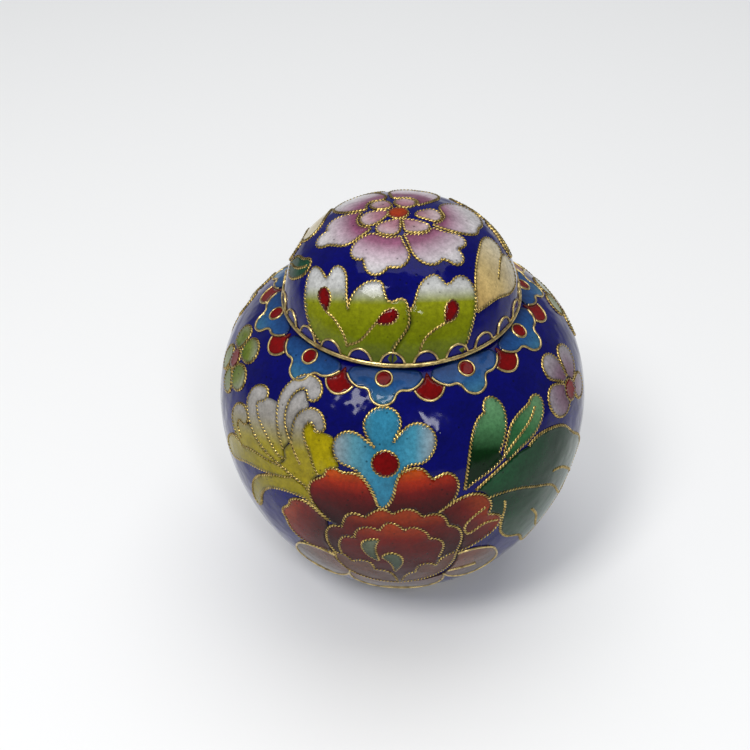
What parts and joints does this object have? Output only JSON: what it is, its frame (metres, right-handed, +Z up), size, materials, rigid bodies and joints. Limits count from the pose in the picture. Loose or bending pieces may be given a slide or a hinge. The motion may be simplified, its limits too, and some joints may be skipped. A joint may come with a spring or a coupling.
{
  "type": "cloisonne ginger jar with lid",
  "caption": "Round cloisonne ginger jar on a foot ring with a loose domed lid, cobalt enamel with flowers and leaves in gilt wire.",
  "frame": {"origin": "centre of the foot ring's underside, on the surface that the jar stands on", "axes": "+Z up along the jar's axis of revolution; -Y is the front with the peony"},
  "size_m": [0.069, 0.0696, 0.0756],
  "materials": {
    "gilt_wire": "polished gilt",
    "gilt_metal": "polished gilt",
    "copper": "spun copper, under the enamel",
    "cobalt_enamel": "glossy fired enamel",
    "azure_enamel": "glossy fired enamel",
    "turquoise_enamel": "glossy fired enamel",
    "red_enamel": "glossy fired enamel",
    "maroon_enamel": "glossy fired enamel",
    "rust_enamel": "glossy fired enamel",
    "brown_enamel": "glossy fired enamel",
    "pale_green_enamel": "glossy fired enamel",
    "leaf_enamel": "glossy fired enamel",
    "dark_leaf_enamel": "glossy fired enamel",
    "white_yellow_enamel": "glossy fired enamel",
    "mauve_enamel": "glossy fired enamel",
    "lime_enamel": "glossy fired enamel",
    "cream_enamel": "glossy fired enamel",
    "pale_enamel": "glossy fired enamel"
  },
  "bodies": {
    "jar": {"base_enamel": "turquoise_enamel", "base_plate": "copper", "big_leaf_enamel": "dark_leaf_enamel", "big_leaves_wires": "gilt_wire", "blue_flower_hearts": "red_enamel", "blue_flower_petals": "turquoise_enamel", "blue_flower_wires": "gilt_wire", "body_shell": "copper", "foot_ring": "gilt_metal", "green_blossom_hearts": "red_enamel", "green_blossom_petals": "lime_enamel", "green_blossom_wires": "gilt_wire", "ground_enamel": "cobalt_enamel", "lappet_dots": "red_enamel", "lappet_wires": "gilt_wire", "lappets": "azure_enamel", "leaf_spray_wires": "gilt_wire", "lining_enamel": "turquoise_enamel", "neck_collar": "gilt_metal", "pendant_wires": "gilt_wire", "pendants": "red_enamel", "peony_bands": "maroon_enamel", "peony_bowls": "brown_enamel", "peony_commas": "pale_green_enamel", "peony_crown_petals": "maroon_enamel", "peony_crown_wires": "gilt_wire", "peony_faces": "rust_enamel", "peony_foot_petals": "brown_enamel", "peony_foot_wires": "gilt_wire", "peony_side_petals": "rust_enamel", "peony_wires": "gilt_wire", "pink_blossom_hearts": "red_enamel", "pink_blossom_petals": "mauve_enamel", "pink_blossom_wires": "gilt_wire", "scroll_leaf_enamel": "white_yellow_enamel", "scroll_leaf_wires": "gilt_wire", "spray_leaves": "leaf_enamel"},
    "lid": {"cream_petal_wires": "gilt_wire", "cream_petals": "cream_enamel", "lid_flower_heart": "red_enamel", "lid_flower_inner_petals": "pale_enamel", "lid_flower_petals": "mauve_enamel", "lid_flower_wires": "gilt_wire", "lid_ground_enamel": "cobalt_enamel", "lid_leaf_wires": "gilt_wire", "lid_leaves": "dark_leaf_enamel", "lid_lining": "turquoise_enamel", "lid_rim_ring": "gilt_metal", "lid_shell": "copper", "lotus_buds": "red_enamel", "lotus_petals": "lime_enamel", "lotus_wires": "gilt_wire", "scallop_wires": "gilt_wire", "scallops": "cobalt_enamel"}
  },
  "joints": [
    {"name": "lid_lift", "type": "slide", "parent": "jar", "child": "lid", "axis": [0, 0, 1], "range_m": [0, 0.03]}
  ]
}
